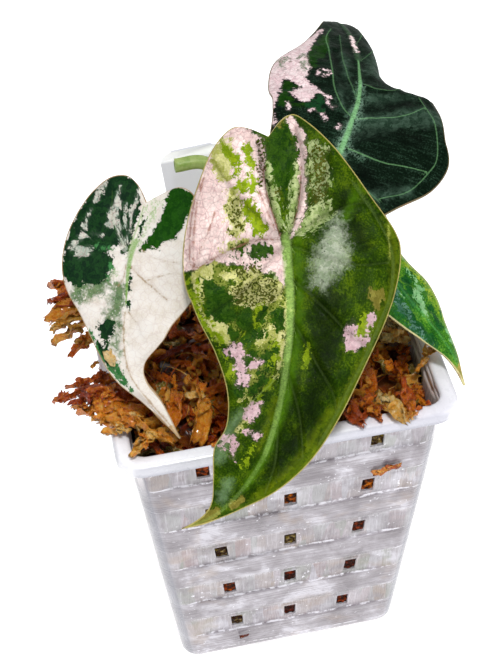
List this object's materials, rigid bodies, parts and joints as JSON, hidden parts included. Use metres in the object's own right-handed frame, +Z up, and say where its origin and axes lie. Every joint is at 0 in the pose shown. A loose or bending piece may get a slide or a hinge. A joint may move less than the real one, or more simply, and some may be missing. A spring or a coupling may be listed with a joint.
{
  "type": "potted amazon elephant ear",
  "caption": "Amazon elephant ear plant with variegated arrow-shaped leaves on thin stalks, rooted in wet moss that fills a square tapered basket pot of frosted clear plastic.",
  "frame": {"origin": "middle of the underside of the pot's base", "axes": "+Z up, -Y is the pot's front face, over which the largest leaf droops, and +X is the pot's right side seen from the front"},
  "size_m": [0.128, 0.1823, 0.2018],
  "materials": {
    "pot_plastic": "frosted clear plastic with fine ribs, whiter at the rim",
    "moss": "wet fibrous orange-brown moss strips",
    "crown": "short stem and roots, satin",
    "leaf_front": "glossy mid green with cream, pink and lime patches and pale veins",
    "leaf_left": "satin cream white with dark green and silvery patches",
    "leaf_back": "velvety dark green with pale veins and cream patches",
    "leaf_right": "satin green with pale patches and a yellow-green margin",
    "stalk": "smooth pale green, faintly striped",
    "label_plastic": "white translucent plastic, blank"
  },
  "bodies": {
    "root": {"pot": "pot_plastic", "moss": "moss", "crown": "crown", "leaf_front": "leaf_front", "stalk_front": "stalk", "leaf_left": "leaf_left", "stalk_left": "stalk", "leaf_back": "leaf_back", "stalk_back": "stalk", "leaf_right": "leaf_right", "stalk_right": "stalk", "stalk_cut": "stalk", "label": "label_plastic"}
  },
  "joints": []
}
